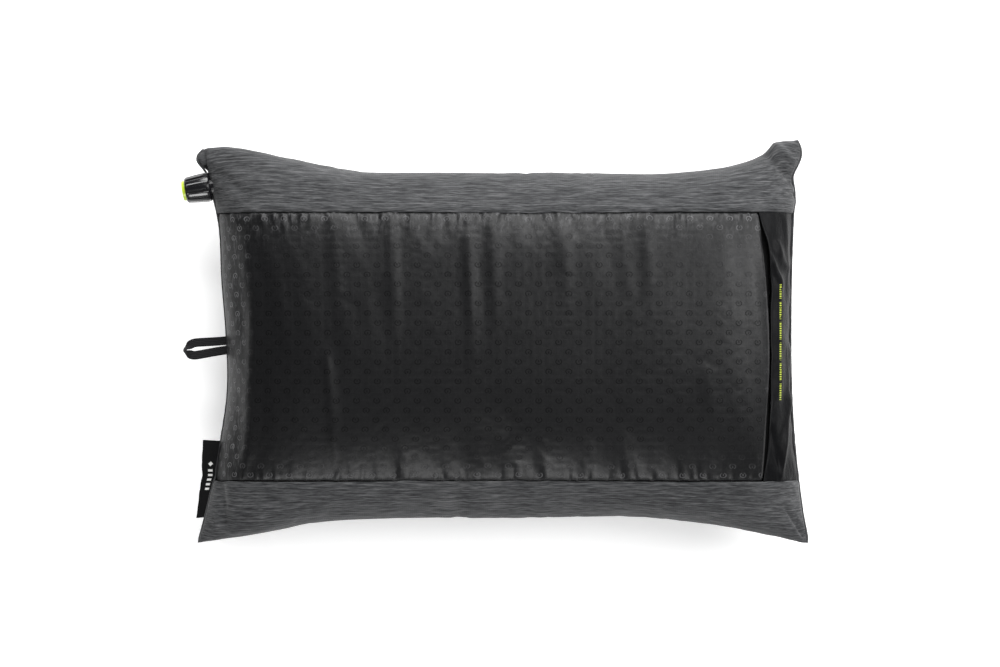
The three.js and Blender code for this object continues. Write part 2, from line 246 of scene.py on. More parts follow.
def tangents(path):
    tangent = np.gradient(path, axis=0)
    return tangent / np.linalg.norm(tangent, axis=1, keepdims=True)


def readPoints(mesh):
    flat = np.zeros(len(mesh.vertices) * 3, np.float32)
    mesh.vertices.foreach_get("co", flat)
    return flat.reshape(-1, 3).astype(float)


def weightGroup(piece, name, weights):
    group = piece.vertex_groups.new(name=name)
    for i, weight in enumerate(weights.ravel()):
        group.add([i], float(weight), "REPLACE")
    return group.name


def unevenGrid(rng):
    rows, columns = np.arange(cover["rows"] + 1)[:, None], np.arange(ringColumns)[None, :]
    height = np.zeros((cover["rows"] + 1, ringColumns))
    for _ in range(drape["waves"]):
        across, around = rng.uniform(3, 34), rng.integers(0, 7)
        phase = 2 * np.pi * (across * rows / cover["rows"] + around * columns / ringColumns)
        height += rng.normal() * np.cos(phase + rng.uniform(0, 2 * np.pi)) / (1 + across / 14)
    return height * drape["unevenness"] / height.std()


def settleCover(start):
    rows, columns = np.arange(cover["rows"])[:, None], np.arange(ringColumns)[None, :]
    after = (columns + 1) % ringColumns
    corners = [rows * ringColumns + columns, (rows + 1) * ringColumns + columns,
               (rows + 1) * ringColumns + after, rows * ringColumns + after]
    faces = np.stack(np.broadcast_arrays(*corners), -1).reshape(-1, 4).tolist()
    piece = meshObject("settlingCover", start, faces + endCap(0) + endCap(cover["rows"]))
    u, k = shares[:, None], columns
    onPanel = (k >= lowerSeamColumn) | (k == 0)
    fromSeam = np.minimum((k - lowerSeamColumn) % ringColumns, (ringColumns - k) % ringColumns)
    nearSeam = np.where(onPanel, np.exp(-(fromSeam / drape["gatherColumns"]) ** 2), 0)
    grow = np.maximum(drape["restExcess"] * onPanel, nearSeam)
    grow = np.maximum(grow, drape["endExcess"] * smoothStep(*drape["endZone"], np.abs(u)))
    isUnder = (k > bandColumns + 8) & (k < bandColumns + underColumns - 8)
    hold = np.where(isUnder, drape["holdUnder"], drape["hold"]) + 0 * u
    hold[:, [0, lowerSeamColumn]] = drape["holdSeam"]
    hold[[0, -1]] = drape["holdEnd"]
    height = unevenGrid(np.random.default_rng(drape["seed"])) * np.where(onPanel, 1, drape["bandUnevenness"])
    height[[0, -1]] = 0
    normals = np.zeros(len(piece.data.vertices) * 3)
    piece.data.vertices.foreach_get("normal", normals)
    points = start.reshape(-1, 3) + normals.reshape(-1, 3) * height.reshape(-1, 1)
    piece.data.vertices.foreach_set("co", points.ravel())
    cloth = piece.modifiers.new("cloth", "CLOTH")
    settings = cloth.settings
    settings.quality = drape["quality"]
    settings.mass = drape["mass"]
    settings.tension_stiffness = settings.compression_stiffness = drape["stiffness"]
    settings.shear_stiffness = drape["shear"]
    settings.bending_stiffness = drape["bending"]
    settings.tension_damping = settings.compression_damping = settings.shear_damping = drape["damping"]
    settings.use_pressure = True
    settings.uniform_pressure_force = drape["pressure"]
    settings.effector_weights.gravity = 0
    settings.vertex_group_mass = weightGroup(piece, "hold", hold)
    settings.pin_stiffness = 1
    settings.vertex_group_shrink = weightGroup(piece, "grow", grow)
    settings.shrink_min = 0
    settings.shrink_max = -drape["excess"]
    cloth.collision_settings.use_collision = False
    cloth.point_cache.frame_end = drape["frames"]
    for moment in range(1, drape["frames"] + 1):
        scene.frame_set(moment)
    makeActive(piece)
    bpy.ops.object.modifier_apply(modifier=cloth.name)
    settled = readPoints(piece.data).reshape(start.shape)
    bpy.data.objects.remove(piece)
    scene.frame_set(1)
    return settled


def limitMove(start, settled):
    move = settled - start
    far = np.linalg.norm(move, axis=2, keepdims=True)
    return start + move * np.minimum(1, drape["farthest"] / np.maximum(far, 1e-9))


# How the corners are pulled about: the place, how far the pull reaches, and the move
cornerPulls = [
    ((0.010, 0.122), (0.190, 0.018), (0, 0.0030, 0)),               # the long edges, let out a little
    ((0.010, -0.127), (0.215, 0.018), (0, -0.0040, 0)),
    ((-0.160, -0.132), (0.030, 0.014), (0, -0.0016, 0)),
    ((-0.190, 0.045), (0.014, 0.030), (-0.0020, 0, 0)),
    ((-0.190, -0.035), (0.014, 0.030), (0.0018, 0, 0)),
    ((-0.199, 0.116), (0.020, 0.024), (-0.0040, 0.0005, 0)),        # the seam swells round the valve
    ((-0.2065, 0.1268), (0.012, 0.0072), (-0.0088, -0.0008, 0.002)),    # and turns up over it
    ((-0.190, 0.1345), (0.016, 0.010), (0, 0.0018, 0)),
    ((0.1975, 0.1370), (0.0105, 0.014), (-0.0008, 0.0062, 0.0030)),     # the ear at the upper right
    ((0.2150, 0.1305), (0.012, 0.009), (0.0036, 0.0004, 0)),
    ((0.2120, 0.1150), (0.010, 0.0060), (-0.0020, 0, 0)),
    ((0.2100, 0.0985), (0.010, 0.0045), (0.0008, 0, 0)),
    ((0.2140, -0.1360), (0.010, 0.010), (0.0012, -0.0008, 0)),
    ((-0.1965, -0.0950), (0.010, 0.006), (0.0010, 0, 0)),
]


def pullCorners(points):
    x, y = points[..., 0], points[..., 1]
    total = np.zeros_like(points)
    for (placeX, placeY), (reachX, reachY), move in cornerPulls:
        near = np.exp(-((x - placeX) / reachX) ** 2 - ((y - placeY) / reachY) ** 2)
        total = total + near[..., None] * np.array(move)
    return points + total


startGrid = np.array([ringPoints(u) for u in shares])
coverGrid = limitMove(startGrid, settleCover(startGrid))
coverGrid = pullCorners(coverGrid)
coverGrid[..., 2] = np.maximum(coverGrid[..., 2], 0.0009)
print("cover settled", np.abs(coverGrid - startGrid).max().round(4))


# Every piece of the cover is sampled from the settled cloth, at its own spacing.
def cubicWeights(t):
    return np.stack([-t ** 3 + 2 * t ** 2 - t, 3 * t ** 3 - 5 * t ** 2 + 2,
                     -3 * t ** 3 + 4 * t ** 2 + t, t ** 3 - t ** 2], -1) / 2


def sampleCover(rows, columns):
    rowFloor, columnFloor = np.floor(rows).astype(int), np.floor(columns).astype(int)
    rowWeight, columnWeight = cubicWeights(rows - rowFloor), cubicWeights(columns - columnFloor)
    total = 0
    for i in range(4):
        row = np.clip(rowFloor + i - 1, 0, cover["rows"])
        for j in range(4):
            column = (columnFloor + j - 1) % ringColumns
            total = total + coverGrid[row, column] * (rowWeight[..., i] * columnWeight[..., j])[..., None]
    return total


def gridNormals(points):
    along, across = np.gradient(points, axis=0), np.gradient(points, axis=1)
    normal = np.cross(along, across)
    return normal / np.maximum(np.linalg.norm(normal, axis=2, keepdims=True), 1e-12)


def rowAt(share):
    return np.interp(share, shares, np.arange(cover["rows"] + 1))


def flatMap(rows, columns):
    # metres along and across the cut cloth, measured from the middle of the panel
    along = (rows / cover["rows"] - 0.5) * cover["clothLength"]
    waist = startGrid[cover["rows"] // 2]
    ring = lengthAlong(np.vstack([waist, waist[:1]]))
    across = np.interp(columns, np.arange(ringColumns + 1), ring)
    middle = np.interp((lowerSeamColumn + ringColumns) / 2, np.arange(ringColumns + 1), ring)
    return np.stack([along, across - middle], -1)


def gridFaces(rows, columns):
    r, c = np.arange(rows - 1)[:, None], np.arange(columns - 1)[None, :]
    first = r * columns + c
    return np.stack([first, first + columns, first + columns + 1, first + 1], -1).reshape(-1, 4).tolist()


def addFlatMap(piece, flat):
    layer = piece.data.uv_layers.new(name="flat")
    corners = np.zeros(len(piece.data.loops), int)
    piece.data.loops.foreach_get("vertex_index", corners)
    layer.data.foreach_set("uv", flat.reshape(-1, 2)[corners].ravel())


def applyModifier(piece, kind, **settings):
    modifier = piece.modifiers.new(kind.lower(), kind)
    for name, value in settings.items():
        setattr(modifier, name, value)
    makeActive(piece)
    bpy.ops.object.modifier_apply(modifier=modifier.name)


def bevel(piece, width, segments, sharperThan):
    applyModifier(piece, "BEVEL", width=width, segments=segments, limit_method="ANGLE",
                  angle_limit=math.radians(sharperThan))


def smoothAll(piece):
    piece.data.polygons.foreach_set("use_smooth", [True] * len(piece.data.polygons))


def coverSheet(name, rows, columns, lift, thickness, shape=None):
    # rows and columns are places on the settled cloth, and lift stands the sheet off it
    rows, columns = np.broadcast_arrays(rows, columns)
    points = sampleCover(rows, columns)
    flat = flatMap(rows, columns)
    height = lift + (shape(points, flat) if shape else 0)
    points = points + gridNormals(points) * np.broadcast_to(height, rows.shape)[..., None]
    points[..., 2] = np.maximum(points[..., 2], 0.0006)
    piece = meshObject(name, points, gridFaces(*rows.shape))
    addFlatMap(piece, flat)
    smoothAll(piece)
    applyModifier(piece, "SOLIDIFY", thickness=thickness, offset=-1, use_rim=True)
    return piece


# Gathers: short ridges that run away from a long seam, each with its own place, width and length.
# Folds: place, length and height of the longer ones, which start at the upper seam.
gathers = {
    "seed": 11,
    "span": (-0.185, 0.17),
    "slant": 0.25,
    "lowerShare": 0.7,
    "pitch": (0.0050, 0.0110),
    "width": (0.0009, 0.0020),
    "reach": (0.004, 0.014),
    "height": (0.0004, 0.0015),
    "folds": [(-0.116, 0.06, 0.0007), (-0.078, 0.075, 0.0010), (-0.027, 0.085, 0.0013),
              (-0.011, 0.07, 0.0009), (0.038, 0.05, 0.0006), (0.092, 0.055, 0.0007)],
    "foldWidth": 0.0045,
    "foldSlant": 0.03,
}


def gatherRows(rng):
    rows, (x, end) = [], gathers["span"]
    while x < end:
        slant = rng.uniform(-gathers["slant"], gathers["slant"])
        rows.append((x, slant, *(rng.uniform(*gathers[key]) for key in ("width", "reach", "height"))))
        x += rng.uniform(*gathers["pitch"])
    return rows


gatherRng = np.random.default_rng(gathers["seed"])
upperGathers = gatherRows(gatherRng)
lowerGathers = gatherRows(gatherRng)


def ridges(x, fromSeam, rows):
    height = 0
    for place, slant, width, reach, top in rows:
        ridge = np.exp(-((x - place - slant * fromSeam) / width) ** 2)
        height = height + top * ridge * np.exp(-(np.maximum(fromSeam, 0) / reach) ** 1.6)
    return height


# What else shapes the panel: a hollow low in the middle, a slanting tuck left of it, the roll of the
# cloth into its seams, and the shoulder where it turns down at the left end
panel = {
    "hollow": {"place": (-0.010, -0.066), "reach": (0.016, 0.02), "depth": 0.0026},
    "tuck": {"place": (-0.118, -0.04), "slant": 0.13, "width": 0.0035, "height": 0.0010},
    "tuckFades": ((-0.095, -0.06), (0.0, -0.02)),
    "seamRoll": 0.0016,
    "shoulder": {"x": -0.1745, "sway": 0.0012, "swayRate": 70, "width": 0.0062, "height": 0.0017},
}


def panelShape(points, flat):
    x, y = flat[..., 0], points[..., 1]
    fromUpper, fromLower = cover["upperSeam"] - y, y - cover["lowerSeam"]
    fromSeam = np.minimum(fromUpper, fromLower)
    height = ridges(x, fromUpper, upperGathers)
    height = height + gathers["lowerShare"] * ridges(x, fromLower, lowerGathers)
    height = height * smoothStep(0, 0.0012, fromSeam)
    for place, reach, top in gathers["folds"]:
        off = (x - place - gathers["foldSlant"] * fromUpper) / gathers["foldWidth"]
        height = height + top * np.exp(-off ** 2) * np.exp(-(fromUpper / reach) ** 3)
    hollow, tuck, shoulder = panel["hollow"], panel["tuck"], panel["shoulder"]
    offX, offY = ((part - place) / reach for part, place, reach in
                  zip((x, y), hollow["place"], hollow["reach"]))
    height = height - hollow["depth"] * np.exp(-offX ** 2 - offY ** 2)
    off = (x - tuck["place"][0] + tuck["slant"] * (y - tuck["place"][1])) / tuck["width"]
    fade = smoothStep(*panel["tuckFades"][0], y) * smoothStep(*panel["tuckFades"][1], y)
    height = height + tuck["height"] * np.exp(-off ** 2) * fade
    height = height - panel["seamRoll"] * np.exp(-fromSeam / panel["seamRoll"])
    off = (x - shoulder["x"] - shoulder["sway"] * np.sin(shoulder["swayRate"] * y)) / shoulder["width"]
    return height + shoulder["height"] * np.exp(-off ** 2) * smoothStep(0, 0.02, fromSeam)


# Creases in the bands: from, to, width and depth
creases = [
    ((-0.2050, 0.134), (-0.2042, 0.114), 0.0015, 0.0026),
    ((-0.2042, 0.114), (-0.1990, 0.0965), 0.0016, 0.0020),
    ((0.2040, -0.117), (0.2180, -0.138), 0.0018, 0.0022),
    ((0.190, 0.131), (0.207, 0.115), 0.0034, 0.0026),
    ((0.197, 0.138), (0.2105, 0.126), 0.0026, -0.0020),
    ((-0.1930, -0.099), (-0.1900, -0.128), 0.0040, 0.0030),
    ((-0.190, 0.127), (-0.160, 0.118), 0.0042, 0.0015),
    ((-0.198, 0.121), (-0.176, 0.104), 0.0034, 0.0016),
    ((0.2130, 0.112), (0.198, 0.108), 0.0020, 0.0014),
    ((0.2125, 0.103), (0.200, 0.101), 0.0018, 0.0012),
]


def bandShape(points, flat):
    x, y = points[..., 0], points[..., 1]
    fromSeam = np.minimum(np.abs(y - cover["upperSeam"]), np.abs(y - cover["lowerSeam"]))
    onTop = smoothStep(cover["seamHeight"] - 0.003, cover["seamHeight"] + 0.002, points[..., 2])
    height = 0.0005 * np.exp(-((fromSeam - 0.0035) / 0.0025) ** 2) - 0.0011 * np.exp(-fromSeam / 0.0012)
    for start, end, width, depth in creases:
        start, way = np.array(start), np.array(end) - np.array(start)
        along = ((x - start[0]) * way[0] + (y - start[1]) * way[1]) / (way @ way)
        off = ((x - start[0]) * way[1] - (y - start[1]) * way[0]) / math.sqrt(way @ way)
        inside = smoothStep(-0.25, 0.15, along) * smoothStep(1.25, 0.85, along)
        height = height - depth * inside * np.exp(-(off / width) ** 2)
    return height * onTop


mouth = {
    "atWaist": 0.905,           # where the pocket's hem ends, as a share of the half length
    "setBack": 0.041,           # how much further in it lies at the long seams
    "hemWidth": 0.0075,
    "bow": 1.8,
    "lift": 0.0016,
    "liftedFrom": 0.86,         # share of the panel's length
    "hemUnder": 0.0007,
    # to the facing beyond it, from the lower seam to the upper one
    "gap": [(-1, 0.0014), (-0.8, 0.0030), (-0.3, 0.0036), (0.2, 0.0036), (0.45, 0.0050),
            (0.62, 0.0046), (0.8, 0.0032), (1, 0.0010)],
    "liningDrop": 0.0050,
    "hingeShare": 0.69,
}


def mouthShare(across):
    # across runs from -1 at the lower seam to 1 at the upper one
    return mouth["atWaist"] - mouth["setBack"] * np.abs(across) ** mouth["bow"]


def buildKnit():
    columns = np.concatenate([np.linspace(0, 2, 7), np.linspace(2.5, lowerSeamColumn - 2.5, 176),
                              np.linspace(lowerSeamColumn - 2, lowerSeamColumn, 7)])
    even = np.linspace(-1, 1, 244)
    rows = rowAt(np.sin(even * math.pi / 2) * 0.6 + even * 0.4)
    piece = coverSheet("knitCover", rows[:, None], columns[None, :], 0, 0.0008, bandShape)
    return assign(piece, "heather_knit", "root", "knit_wrap")


def panelColumnsAt(count, margin=0.0):
    t = np.linspace(-1, 1, count)
    t = 0.86 * t + 0.14 * np.sin(t * math.pi / 2)
    return lowerSeamColumn + panelColumns * (t * (1 - margin) + 1) / 2, t


def lipLift(along, across):
    fade = (1 - np.abs(across) ** 4)[None, :]
    return mouth["lift"] * smoothStep(mouth["liftedFrom"], 1, along) * fade


def buildPanel():
    columns, across = panelColumnsAt(150)
    along = np.linspace(0, 1, 270)[:, None]
    share = -1 + (mouthShare(across)[None, :] + 1) * along
    lifted = lipLift(along, across)
    piece = coverSheet("backPanel", rowAt(share), columns[None, :], lifted, 0.0004, panelShape)
    assign(piece, "coated_ripstop", None, "back_panel", "pocket_lip")
    blendLip(piece)
    return piece


def blendLip(piece):
    hinge = cover["centreX"] + mouth["hingeShare"] * cover["rightEnd"][0]
    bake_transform(piece, "root", "lip", start=(hinge - 0.004, 0, 0.09), end=(hinge + 0.022, 0, 0.09))
    # the lip's two ends stay sewn down, so it opens as a bow
    points = readPoints(piece.data)
    middle = (cover["upperSeam"] + cover["lowerSeam"]) / 2
    half = (cover["upperSeam"] - cover["lowerSeam"]) / 2
    free = np.clip(1 - ((points[:, 1] - middle) / half) ** 2, 0, 1) ** 0.75
    attribute = piece.data.attributes["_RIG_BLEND"]
    weight = np.zeros(len(points), np.float32)
    attribute.data.foreach_get("value", weight)
    attribute.data.foreach_set("value", (weight * free).astype(np.float32))


def buildHem():
    columns, across = panelColumnsAt(150)
    steps = np.linspace(0, 1, 12)[:, None]
    widthShare = mouth["hemWidth"] / cover["rightEnd"][0]
    share = mouthShare(across)[None, :] - widthShare * (1 - steps)
    crown = lipLift(0.97 + 0.03 * steps, across) - mouth["hemUnder"] - 0.0004 * np.sin(steps * math.pi)
    piece = coverSheet("pocketHem", rowAt(share), columns[None, :], crown, 0.0011, panelShape)
    assign(piece, "coated_ripstop", None, "pocket_hem")
    blendLip(piece)
    return piece


# The facing's folds, each from one place to another across it, with a width and a height
facing = {
    "folds": [
        (0.1800, 0.089, 0.1990, 0.040, 0.0022, 0.0024),
        (0.1990, 0.040, 0.1985, -0.040, 0.0030, 0.0012),
        (0.1965, 0.070, 0.2040, 0.050, 0.0024, 0.0013),
        (0.2040, 0.085, 0.2065, 0.030, 0.0020, 0.0011),
        (0.2060, -0.040, 0.2005, -0.092, 0.0020, 0.0022),
        (0.1930, -0.060, 0.2000, -0.090, 0.0020, -0.0013),
        (0.2075, -0.005, 0.2045, -0.045, 0.0022, 0.0015),
        (0.1925, 0.030, 0.1925, -0.070, 0.0028, -0.0009),
    ],
    "turnedEdge": 0.0011,
    "turnedShare": 0.05,
    "bumps": 0.0005,
    "drop": 0.0006,
}


def facingShape(points, flat):
    x, y = points[..., 0], points[..., 1]
    height = 0
    for startX, startY, endX, endY, width, top in facing["folds"]:
        along = (y - startY) / (endY - startY)
        off = x - startX - (endX - startX) * np.clip(along, 0, 1)
        inside = smoothStep(-0.15, 0.1, along) * smoothStep(1.2, 0.85, along)
        height = height + top * inside * np.exp(-(off / width) ** 2)
    bumps = facing["bumps"] * np.sin(x * 380 + 3 * np.sin(y * 61)) * np.sin(y * 140 + 2)
    return height + bumps * smoothStep(0, 0.02, cover["upperSeam"] - y) - facing["drop"]


def buildFacing():
    columns, across = panelColumnsAt(130)
    along = np.linspace(0, 1, 72)[:, None] ** 1.25
    gap = smoothCurve(mouth["gap"], across)[None, :]
    start = mouthShare(across)[None, :] + gap / cover["rightEnd"][0]
    share = start + (1 - start) * along
    turned = np.exp(-(along / facing["turnedShare"]) ** 2) * (1 - np.abs(across) ** 6)[None, :]
    edge = facing["turnedEdge"] * turned
    piece = coverSheet("accessFacing", rowAt(share), columns[None, :], edge, 0.0007, facingShape)
    return assign(piece, "coated_ripstop", "root", "access_flap")


def buildLining():
    columns, across = panelColumnsAt(60, 0.02)
    share = np.linspace(-0.95, 0.93, 120)[:, None]
    piece = coverSheet("pocketLining", rowAt(share), columns[None, :], -mouth["liningDrop"], 0.0004)
    return assign(piece, "pocket_lining", "root", "pocket_lining")


# The turned seam along each end: a narrow rounded welt of the same cloth
endSeam = {
    "wide": 0.0008,
    "high": 0.0007,
    "stations": 200,
    "sides": 8,
    "tapered": 3,               # stations
}


def buildEndSeam(name, row):
    columns = np.linspace(0, ringColumns, 361)[:-1]
    line = sampleCover(np.full(len(columns), float(row)), columns)
    line = line[np.argsort(line[:, 1])]
    at = np.linspace(line[0, 1], line[-1, 1], endSeam["stations"])
    path = np.column_stack([np.interp(at, line[:, 1], line[:, i]) for i in range(3)])
    up = np.array([0.0, 0.0, 1.0])
    outward = np.cross(tangents(path), up)
    turn = np.linspace(0, 2 * np.pi, endSeam["sides"] + 1)[:-1]
    fromEnd = np.minimum(np.arange(len(path)), np.arange(len(path))[::-1])
    taper = np.minimum(1, fromEnd / endSeam["tapered"] + 0.15)[:, None, None]
    ring = (np.cos(turn)[None, :, None] * outward[:, None] * endSeam["wide"]
            + np.sin(turn)[None, :, None] * up[None, None] * endSeam["high"]) * taper
    piece = meshObject(name, path[:, None] + ring, loftFaces(len(path), endSeam["sides"]))
    addFlatMap(piece, np.stack(np.broadcast_arrays(path[:, None, 1], turn[None, :] * 0.0015), -1))
    turnOutward(piece)
    smoothAll(piece)
    return assign(piece, "heather_knit", "root")


pieces = {
    "knit": buildKnit(),
    "panel": buildPanel(),
    "hem": buildHem(),
    "facing": buildFacing(),
    "lining": buildLining(),
    "leftEndSeam": buildEndSeam("leftEndSeam", 0),
    "rightEndSeam": buildEndSeam("rightEndSeam", cover["rows"]),
}
print("cover pieces made")

# What the cover holds: a welded bladder on a foam slab
bladder = {
    "margin": 0.015,            # from the cover's seams to the edge of the weld
    "weld": 0.008,
    "crown": 0.0405,
    "drop": 0.0055,
    "channels": (-0.5, 0.0, 0.5),
    "channelDepth": 0.0022,
    "film": 0.0005,
}
foam = {
    "endShare": 0.90,
    "sideShare": 0.84,
    "top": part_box("foam_slab")[1].z,
    "clearance": 0.003,
}


def closedSheet(name, top, bottom):
    # a solid between two grids of points, with a wall round its edge
    rows, columns = top.shape[:2]
    upper = np.array(gridFaces(rows, columns))
    lower = upper[:, ::-1] + rows * columns
    border = ([(0, c) for c in range(columns)]
              + [(r, columns - 1) for r in range(1, rows)]
              + [(rows - 1, c) for c in range(columns - 2, -1, -1)]
              + [(r, 0) for r in range(rows - 2, 0, -1)])
    ring = [r * columns + c for r, c in border]
    walls = [[a, b, b + rows * columns, a + rows * columns] for a, b in zip(ring, ring[1:] + ring[:1])]
    piece = meshObject(name, np.concatenate([top.reshape(-1, 3), bottom.reshape(-1, 3)]),
                       upper.tolist() + lower.tolist() + walls)
    turnOutward(piece)
    bpy.ops.object.shade_smooth_by_angle(angle=math.radians(40))
    return piece


def plateau(share, fullness, root):
    return np.maximum(0, 1 - np.abs(share) ** fullness) ** root


def coreGrid(uShares, vShares, margin):
    u, v = np.meshgrid(uShares, vShares, indexing="ij")
    length = np.array([[halfLength(a, b) for b in vShares] for a in uShares]) - margin
    upper = np.array([smoothCurve(cover["upperEdge"], a) for a in uShares])[:, None]
    lower = np.array([smoothCurve(cover["lowerEdge"], a) for a in uShares])[:, None]
    width = np.where(v > 0, upper, lower) - margin
    return u, v, np.stack([cover["centreX"] + u * length, v * width], -1)


def buildBladderSkin(name, side, node):
    ends, sides = (np.sin(np.linspace(-1, 1, count) * math.pi / 2) for count in (110, 90))
    u, v, place = coreGrid(ends, sides, bladder["margin"])
    weld = 1 - bladder["weld"] / 0.2
    shape = plateau(u / weld, 9 - 5 * v * v, 0.5) * plateau(v / weld, 2.6, 0.45)
    reach = bladder["crown"] if side > 0 else bladder["drop"]
    channel = sum(np.exp(-((v - c) / 0.03) ** 2) * smoothStep(0.86, 0.74, np.abs(u))
                  for c in bladder["channels"])
    lift = reach * shape - bladder["channelDepth"] * channel * min(1, reach / 0.02)
    height = cover["seamHeight"] + side * (0.0002 + np.maximum(lift, 0))
    outer = np.concatenate([place, (height + side * bladder["film"])[..., None]], -1)
    inner = np.concatenate([place, height[..., None]], -1)
    piece = closedSheet(name, outer, inner) if side > 0 else closedSheet(name, inner, outer)
    return assign(piece, "bladder_film", "root", node)


def buildFoam():
    ends = np.linspace(-1, 1, 80) * foam["endShare"]
    sides = np.linspace(-1, 1, 60) * foam["sideShare"]
    u, v, place = coreGrid(ends, sides, 0)
    power = cover["squareness"]
    drop = cover["sleepDepth"] * swell(u, v) * (1 - np.abs(v) ** power) ** (1 / power)
    under = np.maximum(foam["clearance"], cover["seamHeight"] - drop + foam["clearance"])
    under = np.minimum(under, foam["top"] - 0.004)
    top = np.concatenate([place, np.full(place.shape[:2] + (1,), foam["top"])], -1)
    piece = closedSheet("foamSlab", top, np.concatenate([place, under[..., None]], -1))
    bevel(piece, 0.0015, 2, 50)
    return assign(piece, "foam", "root", "foam_slab")


pieces["upperSkin"] = buildBladderSkin("bladderUpperSkin", 1, "bladder_upper_skin")
pieces["lowerSkin"] = buildBladderSkin("bladderLowerSkin", -1, "bladder_lower_skin")
pieces["foam"] = buildFoam()
print("core made")


# Trims on the left seam
loopRibbon = {
    "rootX": -0.1885, "rootY": -0.0029, "tipX": -0.2196, "tipY": -0.0066,
    "legs": [(-0.1885, 0.0033), (-0.197, 0.0036), (-0.205, 0.0041), (-0.2125, 0.0043)],
    "turnRadius": 0.0024,
    "width": 0.0062,
    "thickness": 0.0011,
    "turned": 1.22,             # radians, of the ribbon at the tip, from lying flat
    "turnsBetween": (0.80, 0.97),
    "stations": 120,
}


def ribbon(name, path, widthAxes, width, thickness):
    # a flat band with rounded edges, swept along a path
    thickAxes = np.cross(widthAxes, tangents(path))
    corner = thickness / 2
    flatHalf = width / 2 - corner
    outline = []
    for side in (1, -1):
        turn = np.radians(np.linspace(-90, 90, 6)) + (0 if side > 0 else math.pi)
        outline += [(side * flatHalf + corner * math.cos(a), corner * math.sin(a)) for a in turn]
        outline += [(x, side * corner) for x in np.linspace(side * flatHalf, -side * flatHalf, 8)[1:-1]]
    outline = np.array(outline)
    points = (path[:, None] + widthAxes[:, None] * outline[None, :, :1]
              + thickAxes[:, None] * outline[None, :, 1:])
    piece = meshObject(name, points, loftFaces(*points.shape[:2]))
    addFlatMap(piece, np.stack(np.broadcast_arrays(lengthAlong(path)[:, None], outline[None, :, 0]), -1))
    return piece


def evenPath(points, count):
    # a smooth curve through the points, at even steps
    points = np.array(points, float)
    t = np.linspace(0, len(points) - 1, 40 * len(points))
    k = np.clip(np.floor(t).astype(int), 0, len(points) - 2)
    weights = cubicWeights(t - k)
    padded = np.vstack([2 * points[0] - points[1], points, 2 * points[-1] - points[-2]])
    fine = sum(weights[:, i:i + 1] * padded[k + i] for i in range(4))
    length = lengthAlong(fine)
    at = np.linspace(0, length[-1], count)
    return np.column_stack([np.interp(at, length, fine[:, i]) for i in range(points.shape[1])])


def buildHangLoop():
    shape = loopRibbon
    radius = shape["turnRadius"]
    turnX = shape["tipX"] + radius + shape["thickness"] / 2
    turn = [(turnX, radius), (turnX - radius, 0), (turnX, -radius)]
    route = shape["legs"] + turn + [(x, -y) for x, y in shape["legs"][::-1]]
    drift = (shape["tipY"] - shape["rootY"]) / (shape["tipX"] - shape["rootX"])
    route = [(x, y + shape["rootY"] + drift * (x - shape["rootX"]), cover["seamHeight"]) for x, y in route]
    path = evenPath(route, shape["stations"])
    up = np.array([0, 0, 1.0])
    outward = np.cross(up, tangents(path))
    fromEnd = 1 - np.abs(np.linspace(-1, 1, len(path)))
    turned = (smoothStep(*shape["turnsBetween"], fromEnd) * shape["turned"])[:, None]
    widthAxes = outward * np.cos(turned) + up * np.sin(turned)
    piece = ribbon("hangLoop", path, widthAxes, shape["width"], shape["thickness"])
    turnOutward(piece, 40)
    return assign(piece, "webbing", "loop", "hang_loop")


sideLabel = {
    "topY": -0.0705, "bottomY": -0.1243,
    "topReach": 0.0125, "bottomReach": 0.0062,
    "tuckedIn": 0.0018,
    "thickness": 0.0009,
    "length": 0.0538,
    "flare": 0.0016,
    "wave": 0.0011,
    "droop": 0.0009,
    "rows": 60,
    "columns": 16,
}


def buildSideLabel():
    rows = np.linspace(0, 1, sideLabel["rows"])[:, None]
    columns = np.linspace(0, 1, sideLabel["columns"])[None, :]
    y = sideLabel["topY"] + (sideLabel["bottomY"] - sideLabel["topY"]) * rows
    edge = coverGrid[0][np.argsort(coverGrid[0][:, 1])]
    seam = np.interp(y, edge[:, 1], edge[:, 0])
    reach = sideLabel["topReach"] + (sideLabel["bottomReach"] - sideLabel["topReach"]) * rows
    x = seam + sideLabel["tuckedIn"] - (reach + sideLabel["tuckedIn"]) * columns
    y = y + sideLabel["flare"] * columns * (0.5 - rows)
    wave = sideLabel["wave"] * columns * np.sin(rows * 5.2 + 0.6)
    z = cover["seamHeight"] + wave - sideLabel["droop"] * columns ** 2
    points = np.stack(np.broadcast_arrays(x, y, z), -1)
    piece = meshObject("sideLabel", points, gridFaces(sideLabel["rows"], sideLabel["columns"]))
    across, along = columns * sideLabel["topReach"], (1 - rows) * sideLabel["length"]
    addFlatMap(piece, np.stack(np.broadcast_arrays(across, along), -1))
    applyModifier(piece, "SOLIDIFY", thickness=sideLabel["thickness"], offset=0)
    bevel(piece, 0.0003, 2, 50)
    turnOutward(piece, 40)
    return assign(piece, "woven_label", "label", "side_label")


pieces["loop"] = buildHangLoop()
pieces["label"] = buildSideLabel()
print("trims made")


# The valve's grip and button, modelled upright and then laid along the valve's own axis
valve = {
    "seat": (-0.1975, 0.1095, 0.048),
    "tilt": 9,
    "sides": 96,
    "flutes": 12,
    "gripBottom": 0.003,
    "gripTop": 0.0208,
    "gripRadius": 0.0104,
    "profile": [(0.0, 0.0092), (0.0009, 0.0101), (0.0030, 0.0104), (0.0090, 0.0099), (0.0150, 0.0092),
                (0.0168, 0.0090), (0.0178, 0.0084)],
    "fluteDepth": 0.0009,
    "socketRadius": 0.0074,
    "buttonRadius": 0.0070,
    "socketDepth": 0.0055,
    "buttonSides": 64,
    "buttonBottom": 0.0180,
    "buttonTop": 0.0231,
    "dishDepth": 0.00045,
    "stemLength": 0.0180,
}


